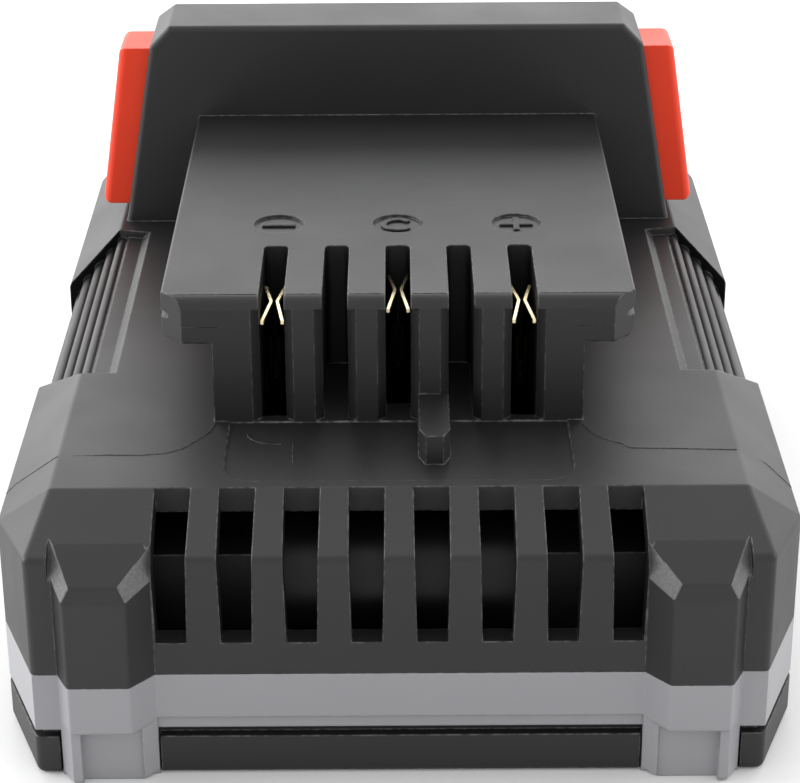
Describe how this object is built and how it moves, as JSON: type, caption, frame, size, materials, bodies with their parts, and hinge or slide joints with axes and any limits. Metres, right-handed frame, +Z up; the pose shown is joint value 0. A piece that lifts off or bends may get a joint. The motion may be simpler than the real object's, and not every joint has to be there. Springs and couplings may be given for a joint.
{
  "type": "power tool battery pack",
  "caption": "Slide-on battery pack with a rail plate over slotted terminals, a front grille, side release buttons and a charge indicator on the back.",
  "frame": {"origin": "middle of the base, on the surface that the pack stands on", "axes": "+Z up, +Y from the grille to the hood, +X to the right seen from the grille"},
  "size_m": [0.077, 0.115, 0.0505],
  "materials": {
    "black_housing": "moulded, fine spark grain",
    "grey_frame": "moulded, satin",
    "red_button": "moulded, satin",
    "spring_steel": "drawn wire",
    "screw_steel": "zinc plated, dark",
    "holder_plastic": "moulded",
    "insulating_sheet": "fibre sheet",
    "board_laminate": "solder mask",
    "chip_body": "moulded epoxy",
    "ribbon_sleeve": "flat cable",
    "window_plastic": "smoked, polished",
    "led_lens": "clear epoxy",
    "button_plastic": "moulded",
    "contact_brass": "stamped, bright",
    "cell_sleeve": "shrink sleeve",
    "nickel_strip": "rolled nickel"
  },
  "bodies": {
    "pack": {"upper_housing": "black_housing", "middle_frame": "grey_frame", "lower_housing": "black_housing", "housing_screws": "screw_steel", "indicator_window": "window_plastic", "contact_negative": "contact_brass", "contact_control": "contact_brass", "contact_positive": "contact_brass", "board_chips": "chip_body", "board_screws": "screw_steel", "thermistor": "chip_body", "cell_washers": "insulating_sheet", "circuit_board": "board_laminate", "indicator_board": "board_laminate", "indicator_ribbon": "ribbon_sleeve", "charge_leds": "led_lens", "charge_switch": "chip_body", "release_spring_left": "spring_steel", "release_spring_right": "spring_steel", "cell_holder_left": "holder_plastic", "cell_holder_right": "holder_plastic", "end_sheet_left": "insulating_sheet", "end_sheet_right": "insulating_sheet", "cell_1": "cell_sleeve", "cell_2": "cell_sleeve", "cell_3": "cell_sleeve", "cell_4": "cell_sleeve", "cell_5": "cell_sleeve", "negative_strip": "nickel_strip", "positive_strip": "nickel_strip", "link_strip_1_2": "nickel_strip", "link_strip_2_3": "nickel_strip", "link_strip_3_4": "nickel_strip", "link_strip_4_5": "nickel_strip"},
    "left_release": {"release_button_left": "red_button"},
    "right_release": {"release_button_right": "red_button"},
    "charge_key": {"charge_button": "button_plastic"}
  },
  "joints": [
    {"name": "left_release_push", "type": "slide", "parent": "pack", "child": "left_release", "axis": [1, 0, 0], "range_m": [0, 0.0028], "stiffness_N_per_m": 900, "springref_m": -0.004, "deforming": ["release_spring_left"]},
    {"name": "right_release_push", "type": "slide", "parent": "pack", "child": "right_release", "axis": [-1, 0, 0], "range_m": [0, 0.0028], "stiffness_N_per_m": 900, "springref_m": -0.004, "deforming": ["release_spring_right"]},
    {"name": "charge_button_push", "type": "slide", "parent": "pack", "child": "charge_key", "axis": [0, -0.5849, -0.8111], "range_m": [0, 0.0005], "stiffness_N_per_m": 500, "springref_m": -0.002}
  ]
}
